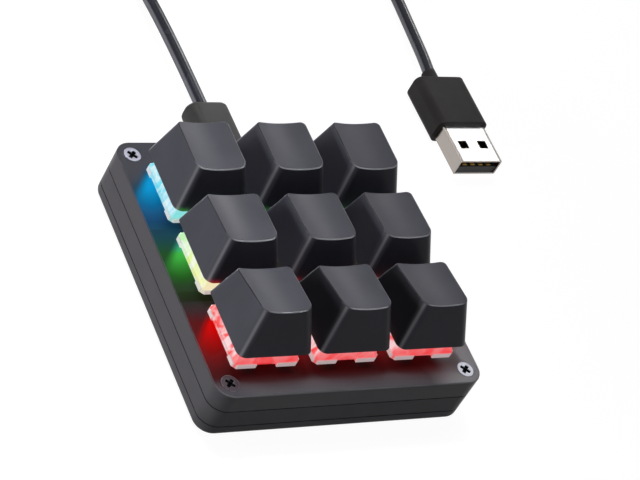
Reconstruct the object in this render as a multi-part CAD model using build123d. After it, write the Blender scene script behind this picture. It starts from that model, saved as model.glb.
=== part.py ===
"""Macro keypad of three by three keys: a three-layer case, mechanical switches, a board and a USB lead.

Millimetres, +Z up, +Y to the back of the keypad, origin on the table under the middle of the case.
"""
import os
from math import ceil, cos, pi, radians, sin, tan

from build123d import *

os.makedirs("parts", exist_ok=True)

# Key grid
COLS = 3
ROWS = 3
KEY_GAP = 1.55  # between the skirts of neighbouring keycaps

# Clearances
RUN_FIT = 0.08  # a sliding piece in its guide, each side
SEAT = 0.05  # a fixed piece beside its neighbour
CUT_FIT = 0.05  # switch body in its cut-out, each side

# Switch
CUT = 14.0  # square cut-out in the plate
FLANGE_LIP = 0.8  # flange beyond the cut-out
FLANGE_T = 1.0
FLANGE_CORNER = 0.9
NOTCH_W = 4.9  # gap in the front and back lip of the flange
SLOT_W = 9.2  # light slot under each side lip
SLOT_H = 0.45
SWITCH_DEPTH = 5.0  # plate top to board
SWITCH_WALL = 1.2
SWITCH_FLOOR = 1.0
LEG_D = 4.0  # locating leg through the board
LEG_L = 3.3
LUG_W = 4.0  # snap lugs under the plate
LUG_H = 0.8
LUG_OUT = 0.3
HOUSING_STEP = 0.4  # clear top stands back from the flange
HOUSING_H = 5.6
HOUSING_ROOF = 1.2
LIP_SIDE_ROOM = 0.1  # stem lip in the clear top, at the sides
LIP_END_ROOM = 0.15  # the same, front and back
TRAVEL = 3.6
PIN_IN_OFF = 1.94  # inner contact from the side wall of the base
PIN_IN_Y = 2.54
PIN_OUT_X = 2.54
PIN_OUT_OFF = 0.67  # outer contact from the back wall of the base
PIN_W = 1.0
PIN_T = 0.4
BLADE_W = 1.8
BLADE_IN_H = 3.4
BLADE_OUT_H = 4.4
LIGHT_OFF = 0.75  # light from the front face of the base
LIGHT_W = 3.2
LIGHT_D = 2.6
LIGHT_H = 1.8
LIGHT_GAP = 0.25

# Stem and spring
STEM_W = 6.8
STEM_D = 5.9
STEM_LIP = 0.8
STEM_LIP_T = 1.1
CROSS_L = 4.0
CROSS_X_T = 1.3
CROSS_Y_T = 1.1
POLE_D = 2.2
POLE_L = 4.5
TUBE_WALL = 0.6
SPRING_WIRE = 0.3
SPRING_ROOM = 0.25  # round the guide tube
SPRING_TURNS = 5
SPRING_STEPS = 10  # straight steps in a turn

# Keycap
CAP_WALL = 1.15
CAP_ROOM = 0.2  # skirt round the clear top
CAP_STOP = 0.15  # skirt above the flange at full press
CAP_TOP_T = 1.5
CAP_SIDE_IN = 2.75
CAP_BACK_IN = 0.95
CAP_FRONT_IN = 3.8
CAP_CORNER = 1.2  # upright edges at the back
CAP_FRONT_CORNER = 2.1
CAP_EDGE = 0.18
CAP_DISH = 0.7
POST_ROOM = 0.2  # socket post in the opening of the clear top
ROW_HEIGHTS = ((8.1, 10.2), (8.6, 9.4), (9.6, 9.5))  # back and front height of a cap, front row first

# Case
BORDER_SIDE = 6.15  # cut-outs to the outside
BORDER_END = 7.7
CASE_R = 4.0
TOP_T = 4.9
MIDDLE_T = 4.9
BOTTOM_T = 2.9
PLATE_T = 1.5
FLOOR_T = 1.5
WALL = 2.8
TOP_EDGE = 0.2
SEAM = 0.14
BOTTOM_EDGE = 1.2
FOOT_D = 8.0
FOOT_T = 1.0
FOOT_SINK = 0.6
FOOT_IN = 10.0  # foot centre from the sides

# Case screws
SCREW_SIDE_IN = 3.6
SCREW_END_IN = 3.55
SCREW_D = 2.0
SCREW_BITE = 1.2
HEAD_D = 3.8
HEAD_H = 1.0
HEAD_ROOM = 0.12
RECESS_L = 2.4
RECESS_T = 0.85
RECESS_H = 0.7
BOSS_R = 2.9

# Board and what is on it
BOARD_T = 1.6
BOARD_ROOM = 0.4
BOARD_HOLE = 0.25  # round a pin
CHIP = 7.0
CHIP_T = 0.9
CHIP_Y = 9.5
DIODE_L = 2.7
DIODE_W = 1.6
DIODE_H = 1.1
DIODE_X = 6.5  # right of a switch centre
SMALL_L = 1.6
SMALL_W = 0.8
SMALL_H = 0.8
SOCKET_W = 8.94
SOCKET_H = 3.16
SOCKET_L = 7.3
SOCKET_SKIN = 0.3
SOCKET_ROOM = 0.15
TONGUE_W = 6.7
TONGUE_T = 0.7
TONGUE_L = 4.6

# Keypad end of the lead
PLUG_W = 8.26
PLUG_H = 2.4
PLUG_SKIN = 0.3
PLUG_IN = 6.4  # length in the socket
MOULD_W = 10.8
MOULD_H = 6.4
MOULD_L = 16.4
MOULD_R = 2.6
MOULD_OFF = 0.6  # moulding behind the case
MOULD_EDGE = 1.0
CABLE_D = 3.0

# USB-A end of the lead
A_X = 68.7
A_Y = 53.4  # middle of the moulding
A_MOULD_W = 14.2
A_MOULD_H = 6.8
A_MOULD_L = 14.9
A_MOULD_R = 1.9
A_MOULD_EDGE = 0.4
A_COLLAR_L = 4.0
A_COLLAR_D = 3.6
A_SHELL_W = 12.0
A_SHELL_H = 4.5
A_SHELL_L = 11.4
A_SHELL_T = 0.35
A_SHELL_SUNK = 4.0  # into the moulding
A_WINDOW = 2.4
A_WINDOW_X = 2.75
A_WINDOW_Y = 5.2  # from the tip
A_TONGUE_H = 1.9
A_CONTACT_W = 1.2
A_CONTACT_L = 7.4
A_CONTACT_T = 0.2
A_CONTACT_PITCH = 2.3

# Put-away coil of the cable
COIL_GAP = 0.6
COIL_TURNS = 9.25
COIL_LAYERS = 4
COIL_MID_R = 17.4
COIL_Y = 118.0
COIL_BEND = 0.25  # turns rounded on each side of a reversal
COIL_RUN = 18.0  # straight off the coil
TIE_T = 0.8
TIE_W = 6.0
TIE_ROOM = 0.35

# Derived sizes
BODY = CUT - 2 * CUT_FIT
FLANGE = CUT + 2 * FLANGE_LIP
HOUSING = FLANGE - 2 * HOUSING_STEP
ROOF_W = STEM_W + 2 * (STEM_LIP + LIP_SIDE_ROOM + SWITCH_WALL)
ROOF_D = STEM_D + 2 * (STEM_LIP + LIP_END_ROOM + SWITCH_WALL)
ROOM_HALF = BODY / 2 - SWITCH_WALL
PIN_IN = (ROOM_HALF - PIN_IN_OFF, PIN_IN_Y)
PIN_OUT = (PIN_OUT_X, ROOM_HALF - PIN_OUT_OFF)
LIGHT_Y = BODY / 2 - LIGHT_OFF - LIGHT_D / 2
CAP = HOUSING + 2 * (CAP_ROOM + CAP_WALL)
PITCH = CAP + KEY_GAP
CASE_W = (COLS - 1) * PITCH + CUT + 2 * BORDER_SIDE
CASE_D = (ROWS - 1) * PITCH + CUT + 2 * BORDER_END
Z_CASE = FOOT_T - FOOT_SINK
Z_BOTTOM = Z_CASE + BOTTOM_T
Z_MIDDLE = Z_BOTTOM + MIDDLE_T
Z_PLATE = Z_MIDDLE + TOP_T
Z_BOARD = Z_PLATE - SWITCH_DEPTH
Z_ROOF = Z_PLATE + FLANGE_T + HOUSING_H
Z_STEM = Z_ROOF + TRAVEL
Z_SKIRT = Z_PLATE + FLANGE_T + TRAVEL + CAP_STOP
Z_FLOOR = Z_BOARD + SWITCH_FLOOR
Z_LIP = Z_ROOF - HOUSING_ROOF - SEAT - STEM_LIP_T
SCREW_X = CASE_W / 2 - SCREW_SIDE_IN
SCREW_Y = CASE_D / 2 - SCREW_END_IN
Z_PLUG = Z_BOARD - BOARD_T - SOCKET_H / 2
MOULD_Y = CASE_D / 2 + MOULD_OFF
TUBE_D = POLE_D + 2 * (RUN_FIT + TUBE_WALL)
POST_D = STEM_D - 2 * POST_ROOM
KEYS = [((c - (COLS - 1) / 2) * PITCH, (r - (ROWS - 1) / 2) * PITCH, r) for r in range(ROWS) for c in range(COLS)]


def box(w, d, h, x=0.0, y=0.0, z=0.0):
    """A block on height z, centred on x and y."""
    return Pos(x, y, z) * Box(w, d, h, align=(Align.CENTER, Align.CENTER, Align.MIN))


def rod(d, h, x=0.0, y=0.0, z=0.0):
    """An upright cylinder on height z."""
    return Pos(x, y, z) * Cylinder(d / 2, h, align=(Align.CENTER, Align.CENTER, Align.MIN))


def slab(w, d, r, h, z):
    """A plate with rounded corners on height z."""
    return extrude(Plane.XY.offset(z) * RectangleRounded(w, d, r), h)


def bar(w, h, r, length, y, z, x=0.0):
    """A bar along +Y from y, with a rounded section centred on x and z."""
    section = Plane(origin=(x, y, z), x_dir=(1, 0, 0), z_dir=(0, 1, 0)) * RectangleRounded(w, h, r)
    return extrude(section, length)


def drawn(w, z, side, front, back):
    """A square block on height z whose walls lean in; each wall has its inset and the height it has it at."""
    body = box(w, w, 2 * w, z=z)
    walls = (((w / 2, 0, z), (side[1], 0, side[0])), ((-w / 2, 0, z), (-side[1], 0, side[0])),
             ((0, -w / 2, z), (0, -front[1], front[0])), ((0, w / 2, z), (0, back[1], back[0])))
    for at, out in walls:
        body = split(body, bisect_by=Plane(origin=at, z_dir=out), keep=Keep.BOTTOM)
    return body


def spread(solid, places=None):
    """Copies of one solid at the key centres, or at the places given."""
    return [Pos(p[0], p[1], 0) * solid for p in (places or KEYS)]


def save(name, *solids):
    """One node's file, with its solids."""
    found = [s for piece in solids for s in piece.solids()]
    export_step(found[0] if len(found) == 1 else Compound(children=found), os.path.join("parts", name + ".step"))


def biarc(p, t, q, u):
    """Two tangent arcs from p along t to q along u."""
    v = q - p
    k = 2 * (1 - t.dot(u))
    b = v.dot(t + u)
    d = v.dot(v) / (2 * b) if k < 1e-9 else (-b + (b * b + k * v.dot(v)) ** 0.5) / k
    a, c = p + t * d, q - u * d
    m = (a + c) * 0.5
    return [Edge.make_tangent_arc(p, t, m), Edge.make_tangent_arc(m, (c - a).normalized(), q)]


def wound(place, turns, steps, wire, lead=0.0):
    """A tube wound along place(turn), swept on biarcs, with straight ends of the given length."""
    n = ceil(turns * steps)
    at = [turns * i / n for i in range(n + 1)]
    spots = [Vector(*place(s)) for s in at]
    e = 1e-4
    ways = [(Vector(*place(s + e)) - Vector(*place(s - e))).normalized() for s in at]
    edges = []
    for i in range(n):
        edges += biarc(spots[i], ways[i], spots[i + 1], ways[i + 1])
    if lead:
        edges.insert(0, Edge.make_line(spots[0] - ways[0] * lead, spots[0]))
        edges.append(Edge.make_line(spots[-1], spots[-1] + ways[-1] * lead))
    path = Wire(edges)
    start = Plane(origin=path @ 0, z_dir=path % 0)
    return sweep(start * Circle(wire / 2), path=path), path


def self_gap(place, turns, wire, per_turn=60):
    """Least gap of a wound tube to itself, on points at least three quarters of a turn apart."""
    pts = [place(i / per_turn) for i in range(int(turns * per_turn) + 1)]
    apart = int(0.75 * per_turn)
    least = min(sum((a - b) ** 2 for a, b in zip(pts[i], pts[j]))
                for i in range(len(pts)) for j in range(i + apart, len(pts)))
    return least ** 0.5 - wire


def tube(points, d, name):
    """A cord's stretch: straight runs joined by arcs as large as the runs allow."""
    pts = [Vector(*p) for p in points]
    radii = []
    for a, b, c in zip(pts, pts[1:], pts[2:]):
        turn = radians((b - a).get_angle(c - b))
        radii.append(0.45 * min((b - a).length, (c - b).length) / tan(turn / 2))
    path = FilletPolyline(*pts, radius=radii)
    solid = sweep(Plane(origin=path @ 0, z_dir=path % 0) * Circle(d / 2), path=path)
    share = solid.volume / (pi * d * d / 4 * path.length)
    print(name, "length %.1f" % path.length, "radii", [round(r, 1) for r in radii], "volume share %.4f" % share)
    return solid, path


# Case layers
def cavity(h, z):
    """Room inside the walls, clear of the screw bosses."""
    room = box(CASE_W - 2 * WALL, CASE_D - 2 * WALL, h, z=z)
    for x in (-SCREW_X, SCREW_X):
        for y in (-SCREW_Y, SCREW_Y):
            room -= rod(2 * BOSS_R, h, x, y, z)
    return room.solids().sort_by(SortBy.VOLUME)[-1]


def layer(h, z, top, bottom):
    """One layer of the case with its outer edges broken; bottom is a function for the lower edge."""
    body = slab(CASE_W, CASE_D, CASE_R, h, z)
    body = chamfer(body.faces().sort_by(Axis.Z)[-1].edges(), top)
    return bottom(body.faces().sort_by(Axis.Z)[0].edges())


SCREWS = [(x, y) for y in (-SCREW_Y, SCREW_Y) for x in (-SCREW_X, SCREW_X)]
z_tip = Z_BOTTOM - SCREW_BITE

top_cover = layer(TOP_T, Z_MIDDLE, TOP_EDGE, lambda edges: chamfer(edges, SEAM))
top_cover -= cavity(TOP_T - PLATE_T, Z_MIDDLE)
top_cover -= spread(box(CUT, CUT, TOP_T, z=Z_MIDDLE))
sink = Cone(SCREW_D / 2 + HEAD_ROOM, HEAD_D / 2 + HEAD_ROOM, HEAD_H, align=(Align.CENTER, Align.CENTER, Align.MAX))
top_cover -= spread(Pos(0, 0, Z_PLATE) * sink + rod(SCREW_D + 2 * HEAD_ROOM, TOP_T, z=Z_MIDDLE), SCREWS)
save("top_cover", top_cover)

socket_cut = bar(SOCKET_W + 2 * SOCKET_ROOM, SOCKET_H + 2 * SOCKET_ROOM, SOCKET_H / 2, 2 * WALL,
                 CASE_D / 2 - 1.5 * WALL, Z_PLUG)
middle = layer(MIDDLE_T, Z_BOTTOM, SEAM, lambda edges: chamfer(edges, SEAM))
middle -= cavity(MIDDLE_T, Z_BOTTOM)
middle -= spread(rod(SCREW_D + 2 * HEAD_ROOM, MIDDLE_T, z=Z_BOTTOM), SCREWS)
save("middle_frame", middle - socket_cut)

bottom = layer(BOTTOM_T, Z_CASE, SEAM, lambda edges: fillet(edges, BOTTOM_EDGE))
bottom -= cavity(BOTTOM_T - FLOOR_T, Z_CASE + FLOOR_T)
bottom -= spread(rod(SCREW_D + 2 * SEAT, SCREW_BITE + SEAT, z=z_tip - SEAT), SCREWS)
FEET = [(x * (CASE_W / 2 - FOOT_IN), y * (CASE_D / 2 - FOOT_IN)) for x in (-1, 1) for y in (-1, 1)]
bottom -= spread(rod(FOOT_D + 2 * SEAT, FOOT_SINK, z=Z_CASE), FEET)
save("bottom_cover", bottom - socket_cut)

foot = rod(FOOT_D, FOOT_T)
foot = chamfer(foot.edges().sort_by(Axis.Z)[0], FOOT_SINK / 2)
save("rubber_feet", *spread(foot, FEET))

shank = rod(SCREW_D, Z_PLATE - HEAD_H - z_tip, z=z_tip)
head = Pos(0, 0, Z_PLATE) * Cone(SCREW_D / 2, HEAD_D / 2, HEAD_H, align=(Align.CENTER, Align.CENTER, Align.MAX))
screw = shank + head
for angle in (45, 135):
    screw -= Pos(0, 0, Z_PLATE - RECESS_H) * Rot(0, 0, angle) * box(RECESS_L, RECESS_T, RECESS_H)
save("case_screws", *spread(screw, SCREWS))

# Board
board = box(CASE_W - 2 * (WALL + BOARD_ROOM), CASE_D - 2 * (WALL + BOARD_ROOM), BOARD_T, z=Z_BOARD - BOARD_T)
for x, y in SCREWS:
    board -= rod(2 * (BOSS_R + BOARD_ROOM), BOARD_T, x, y, Z_BOARD - BOARD_T)
board = board.solids().sort_by(SortBy.VOLUME)[-1]
slot_w, slot_t = PIN_W + 2 * BOARD_HOLE, PIN_T + 2 * BOARD_HOLE
holes = [rod(LEG_D + 2 * BOARD_HOLE, BOARD_T, z=Z_BOARD - BOARD_T),
         box(slot_w, slot_t, BOARD_T, -PIN_IN[0], PIN_IN[1], Z_BOARD - BOARD_T),
         box(slot_w, slot_t, BOARD_T, PIN_OUT[0], PIN_OUT[1], Z_BOARD - BOARD_T)]
for hole in holes:
    board -= spread(hole)
save("circuit_board", board)

z_under = Z_BOARD - BOARD_T
save("controller_chip", box(CHIP, CHIP, CHIP_T, PITCH / 2, -CHIP_Y, z_under - CHIP_T))
diode = box(DIODE_L, DIODE_W, DIODE_H, DIODE_X, 0, z_under - DIODE_H)
small = box(SMALL_W, SMALL_L, SMALL_H, z=z_under - SMALL_H)
beside = [(PITCH / 2 + s * (CHIP / 2 + k * SMALL_L), -CHIP_Y, 0) for s in (-1, 1) for k in (1, 2)]
save("board_parts", *spread(diode), *spread(small, beside))

back = CASE_D / 2
socket = bar(SOCKET_W, SOCKET_H, SOCKET_H / 2 - SEAT, SOCKET_L, back - SOCKET_L, Z_PLUG)
socket -= bar(SOCKET_W - 2 * SOCKET_SKIN, SOCKET_H - 2 * SOCKET_SKIN, SOCKET_H / 2 - SOCKET_SKIN - SEAT,
              SOCKET_L, back - SOCKET_L + SOCKET_SKIN, Z_PLUG)
save("usb_socket", socket)
save("socket_tongue", bar(TONGUE_W, TONGUE_T, TONGUE_T / 4, TONGUE_L, back - SOCKET_L + SOCKET_SKIN, Z_PLUG))

# Switches
base = box(BODY, BODY, SWITCH_DEPTH, z=Z_BOARD)
lip = Plane.XY.offset(Z_PLATE) * Rectangle(FLANGE, FLANGE)
base += extrude(chamfer(lip.vertices(), FLANGE_CORNER), FLANGE_T)
base -= box(2 * ROOM_HALF, 2 * ROOM_HALF, SWITCH_DEPTH + FLANGE_T, z=Z_FLOOR)
for s in (-1, 1):
    base -= box(NOTCH_W, 2 * FLANGE_LIP, FLANGE_T, y=s * FLANGE / 2, z=Z_PLATE)
    base -= box(2 * FLANGE_LIP, SLOT_W, SLOT_H, x=s * FLANGE / 2, z=Z_PLATE)
    lug = Plane.XZ * Polygon((0, 0), (LUG_OUT, -LUG_OUT), (0, -LUG_H), align=None)
    lug = Pos(BODY / 2, LUG_W / 2, Z_PLATE - PLATE_T - SEAT) * extrude(lug, LUG_W)
    base += lug if s > 0 else mirror(lug, Plane.YZ)
base += rod(TUBE_D, Z_LIP - TRAVEL - 2 * SEAT - Z_FLOOR - SPRING_WIRE, z=Z_FLOOR)
base += rod(LEG_D, LEG_L, z=Z_BOARD - LEG_L)
base -= rod(POLE_D + 2 * RUN_FIT, SWITCH_DEPTH + FLANGE_T, z=Z_LIP - POLE_L - TRAVEL - 2 * SEAT)
base -= box(LIGHT_W + 2 * LIGHT_GAP, LIGHT_D + 2 * LIGHT_GAP, LIGHT_H + LIGHT_GAP, y=-LIGHT_Y, z=Z_BOARD)
for x, y in ((-PIN_IN[0], PIN_IN[1]), PIN_OUT):
    base -= box(PIN_W + 2 * SEAT, PIN_T + 2 * SEAT, SWITCH_FLOOR, x, y, Z_BOARD)

z_lip = Z_PLATE + FLANGE_T
end_lean = ((HOUSING - ROOF_D) / 2, HOUSING_H)
leans = (((HOUSING - ROOF_W) / 2, HOUSING_H), end_lean, end_lean)
housing = split(drawn(HOUSING, z_lip, *leans), bisect_by=Plane.XY.offset(Z_ROOF), keep=Keep.BOTTOM)
room = drawn(HOUSING - 2 * SWITCH_WALL, z_lip, *leans)
housing -= split(room, bisect_by=Plane.XY.offset(Z_ROOF - HOUSING_ROOF), keep=Keep.BOTTOM)
housing -= box(STEM_W + 2 * RUN_FIT, STEM_D + 2 * RUN_FIT, HOUSING_H, z=Z_PLATE + FLANGE_T)

pin = box(PIN_W, PIN_T, LEG_L + SWITCH_FLOOR, z=Z_BOARD - LEG_L)
contact_in = pin + box(BLADE_W, PIN_T, BLADE_IN_H, z=Z_FLOOR)
contact_out = pin + box(BLADE_W, PIN_T, BLADE_OUT_H, z=Z_FLOOR)
light = box(LIGHT_W, LIGHT_D, LIGHT_H, y=-LIGHT_Y, z=Z_BOARD)

stem = box(STEM_W, STEM_D, Z_ROOF - Z_LIP, z=Z_LIP)
stem += box(STEM_W + 2 * STEM_LIP, STEM_D + 2 * STEM_LIP, STEM_LIP_T, z=Z_LIP)
stem += box(CROSS_L, CROSS_Y_T, TRAVEL, z=Z_ROOF) + box(CROSS_X_T, CROSS_L, TRAVEL, z=Z_ROOF)
stem += rod(POLE_D, POLE_L, z=Z_LIP - POLE_L)

spring_d = TUBE_D + 2 * SPRING_ROOM + SPRING_WIRE
spring_z = Z_FLOOR + SEAT + SPRING_WIRE / 2
spring_rise = (Z_LIP - SEAT - SPRING_WIRE / 2 - spring_z) / SPRING_TURNS


def coil_place(turn):
    """A point of the return spring."""
    a = 2 * pi * turn
    return spring_d / 2 * cos(a), spring_d / 2 * sin(a), spring_z + spring_rise * turn


spring_path = Polyline(*[coil_place(i / SPRING_STEPS) for i in range(SPRING_STEPS * SPRING_TURNS + 1)])
spring_end = Plane(origin=spring_path @ 0, z_dir=spring_path % 0)
spring = sweep(spring_end * RegularPolygon(SPRING_WIRE / 2, 6), path=spring_path, transition=Transition.RIGHT)
print("spring self gap %.2f" % self_gap(coil_place, SPRING_TURNS, SPRING_WIRE))

save("switch_tops", *spread(housing))
save("switch_contacts", *spread(Pos(-PIN_IN[0], PIN_IN[1], 0) * contact_in),
     *spread(Pos(PIN_OUT[0], PIN_OUT[1], 0) * contact_out))
save("key_lights", *spread(light))


# Keycaps
def keycap(back_h, front_h):
    """One hollow keycap with leaning walls, a sloped and dished top and its socket post."""
    mid_h = (back_h + front_h) / 2
    slope = Vector(0, CAP - CAP_BACK_IN - CAP_FRONT_IN, back_h - front_h)
    face = Plane(origin=(0, (CAP_FRONT_IN - CAP_BACK_IN) / 2, Z_SKIRT + mid_h), x_dir=(1, 0, 0),
                 z_dir=Vector(1, 0, 0).cross(slope))
    leans = ((CAP_SIDE_IN, mid_h), (CAP_FRONT_IN, front_h), (CAP_BACK_IN, back_h))
    body = split(drawn(CAP, Z_SKIRT, *leans), bisect_by=face.offset(CAP_DISH), keep=Keep.BOTTOM)
    for side, radius in ((1, CAP_CORNER), (-1, CAP_FRONT_CORNER)):
        upright = [e for e in body.edges() if abs((e @ 0).Z - (e @ 1).Z) > back_h / 2 and side * (e @ 0).Y > 0]
        body = fillet(upright, radius)
    half = CAP / 2 - CAP_SIDE_IN
    dish_r = (half * half + CAP_DISH * CAP_DISH) / (2 * CAP_DISH)
    body -= face * (Pos(0, 0, dish_r - CAP_DISH) * Cylinder(dish_r, 3 * CAP, rotation=(90, 0, 0)))
    body = body.solids().sort_by(SortBy.VOLUME)[-1]
    dish = body.faces().filter_by(GeomType.CYLINDER).sort_by(SortBy.AREA)[-1]
    body = chamfer(dish.edges(), CAP_EDGE)
    hollow = split(drawn(CAP - 2 * CAP_WALL, Z_SKIRT, *leans), bisect_by=face.offset(-CAP_TOP_T - CAP_DISH),
                   keep=Keep.BOTTOM)
    body -= hollow - rod(POST_D, 2 * CAP, z=Z_ROOF + SEAT)
    body -= box(CROSS_L + 2 * SEAT, CROSS_Y_T + 2 * SEAT, TRAVEL, z=Z_ROOF)
    body -= box(CROSS_X_T + 2 * SEAT, CROSS_L + 2 * SEAT, TRAVEL, z=Z_ROOF)
    return body.solids().sort_by(SortBy.VOLUME)[-1]


CAPS = [keycap(*heights) for heights in ROW_HEIGHTS]
for number, (x, y, row) in enumerate(KEYS, 1):
    save("keycap_%d" % number, Pos(x, y, 0) * CAPS[row])
    save("stem_%d" % number, Pos(x, y, 0) * stem)
    save("spring_%d" % number, Pos(x, y, 0) * spring)
    save("switch_base_%d" % number, Pos(x, y, 0) * base)

# Keypad end of the lead
plug = bar(PLUG_W, PLUG_H, PLUG_H / 2 - SEAT, PLUG_IN + MOULD_OFF, back - PLUG_IN, Z_PLUG)
plug -= bar(PLUG_W - 2 * PLUG_SKIN, PLUG_H - 2 * PLUG_SKIN, PLUG_H / 2 - PLUG_SKIN - SEAT,
            PLUG_IN, back - PLUG_IN, Z_PLUG)
save("lead_plug_shell", plug)
mould = bar(MOULD_W, MOULD_H, MOULD_R, MOULD_L, MOULD_Y, Z_PLUG)
mould = fillet(mould.faces().sort_by(Axis.Y)[-1].edges(), MOULD_EDGE)
save("lead_plug", mould)

# USB-A plug on the table
A_Z = A_MOULD_H / 2
a_front = A_Y - A_MOULD_L / 2
a_back = A_Y + A_MOULD_L / 2
tip = a_front - A_SHELL_L
shell_room = bar(A_SHELL_W, A_SHELL_H, A_SHELL_T, A_SHELL_SUNK, a_front, A_Z, A_X)
a_mould = bar(A_MOULD_W, A_MOULD_H, A_MOULD_R, A_MOULD_L, a_front, A_Z, A_X)
a_mould = fillet(a_mould.faces().sort_by(Axis.Y)[-1].edges(), A_MOULD_EDGE)
collar = Plane(origin=(A_X, a_back, A_Z), z_dir=(0, 1, 0)) * Circle(A_COLLAR_D / 2)
a_mould += extrude(collar, A_COLLAR_L)
save("usb_a_mould", a_mould - shell_room)
a_shell = bar(A_SHELL_W, A_SHELL_H, A_SHELL_T, A_SHELL_L + A_SHELL_SUNK, tip, A_Z, A_X)
a_shell -= bar(A_SHELL_W - 2 * A_SHELL_T, A_SHELL_H - 2 * A_SHELL_T, A_SHELL_T / 2,
               A_SHELL_L + A_SHELL_SUNK, tip, A_Z, A_X)
for s in (-1, 1):
    a_shell -= box(A_WINDOW, A_WINDOW, 2 * A_SHELL_H, A_X + s * A_WINDOW_X, tip + A_WINDOW_Y, A_Z - A_SHELL_H)
save("usb_a_shell", a_shell)
tongue_z = A_Z - A_SHELL_H / 2 + A_SHELL_T
tongue_w = A_SHELL_W - 2 * (A_SHELL_T + SEAT)
a_len = A_SHELL_L + A_SHELL_SUNK - A_SHELL_T
a_tongue = bar(tongue_w, A_TONGUE_H, A_SHELL_T / 2, a_len, tip + A_SHELL_T, tongue_z + A_TONGUE_H / 2, A_X)
save("usb_a_tongue", a_tongue)
contacts = [box(A_CONTACT_W, A_CONTACT_L, A_CONTACT_T, A_X + (k - 1.5) * A_CONTACT_PITCH,
                tip + 2 * A_SHELL_T + A_CONTACT_L / 2, tongue_z + A_TONGUE_H) for k in range(4)]
save("usb_a_contacts", *contacts)

# Cable and its coil
COIL_STEP = CABLE_D + COIL_GAP
coil_leg = COIL_TURNS / COIL_LAYERS
coil_out = COIL_MID_R + coil_leg * COIL_STEP / 2
coil_z = TIE_T + TIE_ROOM + CABLE_D / 2


def ease(x):
    """Smooth step from 0 to 1."""
    x = min(max(x, 0.0), 1.0)
    return x * x * (3 - 2 * x)


def swing(turn):
    """Turns drawn in from the outside, with the reversals rounded."""
    x = turn % (2 * coil_leg)
    x = min(x, 2 * coil_leg - x)
    inner_turn, outer_turn = coil_leg - x, x
    if inner_turn < COIL_BEND:
        return coil_leg - COIL_BEND / 2 - inner_turn * inner_turn / (2 * COIL_BEND)
    if outer_turn < COIL_BEND < turn < COIL_TURNS - COIL_BEND:
        return COIL_BEND / 2 + outer_turn * outer_turn / (2 * COIL_BEND)
    return x


def lead_place(turn):
    """A point of the cable's coil: in and out by layers, climbing where it turns back."""
    r = coil_out - COIL_STEP * swing(turn)
    a = pi - 2 * pi * turn
    climbed = sum(ease((turn - k * coil_leg) / (2 * COIL_BEND) + 0.5) for k in range(1, COIL_LAYERS))
    return coil_out + r * cos(a), COIL_Y + r * sin(a), coil_z + COIL_STEP * climbed


coil, coil_path = wound(lead_place, COIL_TURNS, 4, CABLE_D, CABLE_D)
print("coil self gap %.2f" % self_gap(lead_place, COIL_TURNS, CABLE_D), "length %.1f" % coil_path.length)
save("cable_coil", coil)

start = coil_path @ 0
end = coil_path @ 1
out_points = [(0, MOULD_Y + MOULD_L, Z_PLUG), (0, 73, Z_PLUG), (0, 97, coil_z), start]
cable_out, out_path = tube(out_points, CABLE_D, "cable_out")
save("cable_out", cable_out)
lie = CABLE_D / 2 + SEAT
back_points = [end, (end.X + COIL_RUN, end.Y, end.Z), (62, 132, 6.5), (74, 114, lie), (72.6, 94, lie),
               (A_X, 77.5, A_Z), (A_X, a_back + A_COLLAR_L, A_Z)]
cable_back, back_path = tube(back_points, CABLE_D, "cable_back")
save("cable_back", cable_back)
print("cable length %.0f" % (out_path.length + coil_path.length + back_path.length))

# Tie round the coil
r_in = coil_out - COIL_STEP * swing(coil_leg) - CABLE_D / 2
tie_in = coil_out + (r_in ** 2 - (TIE_W / 2) ** 2) ** 0.5 - TIE_ROOM
tie_out = 2 * coil_out + CABLE_D / 2 + TIE_ROOM
tie_top = coil_z + (COIL_LAYERS - 1) * COIL_STEP + CABLE_D / 2 + TIE_ROOM
tie_x = (tie_in + tie_out) / 2
tie_z = (TIE_T + tie_top) / 2
tie = bar(tie_out - tie_in + 2 * TIE_T, tie_top - TIE_T + 2 * TIE_T, 2 * TIE_T, TIE_W, COIL_Y - TIE_W / 2, tie_z, tie_x)
tie -= bar(tie_out - tie_in, tie_top - TIE_T, TIE_T, TIE_W, COIL_Y - TIE_W / 2, tie_z, tie_x)
save("cable_tie", tie)
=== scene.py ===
"""Looks of a macro keypad: its finishes, lit switches, return springs, free cord, studio and camera.

Metres, +Z up, +Y to the back of the keypad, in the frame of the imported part.
"""
import logging
import math
from dataclasses import dataclass, field
from enum import Enum

import bmesh
import bpy
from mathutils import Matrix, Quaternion, Vector


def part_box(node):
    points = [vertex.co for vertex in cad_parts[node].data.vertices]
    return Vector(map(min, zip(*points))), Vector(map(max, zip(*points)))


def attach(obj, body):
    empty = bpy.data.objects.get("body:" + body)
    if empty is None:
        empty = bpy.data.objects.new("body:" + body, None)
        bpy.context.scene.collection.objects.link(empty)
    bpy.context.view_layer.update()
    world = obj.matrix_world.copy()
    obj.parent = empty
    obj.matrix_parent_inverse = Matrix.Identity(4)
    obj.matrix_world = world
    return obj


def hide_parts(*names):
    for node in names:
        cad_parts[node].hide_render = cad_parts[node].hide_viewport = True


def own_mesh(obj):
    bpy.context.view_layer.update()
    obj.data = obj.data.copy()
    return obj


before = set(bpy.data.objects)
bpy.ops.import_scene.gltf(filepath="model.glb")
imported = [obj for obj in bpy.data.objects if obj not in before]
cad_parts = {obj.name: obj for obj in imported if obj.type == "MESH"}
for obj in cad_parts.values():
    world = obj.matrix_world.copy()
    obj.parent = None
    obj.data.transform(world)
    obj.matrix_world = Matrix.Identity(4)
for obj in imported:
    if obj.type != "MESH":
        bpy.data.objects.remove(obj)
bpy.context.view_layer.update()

LOG = logging.getLogger("keypad")
MM = 0.001
VALUE, COLOUR, VECTOR = "NodeSocketFloat", "NodeSocketColor", "NodeSocketVector"
Colour = tuple[float, float, float, float]
Point = tuple[float, float, float]
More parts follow.
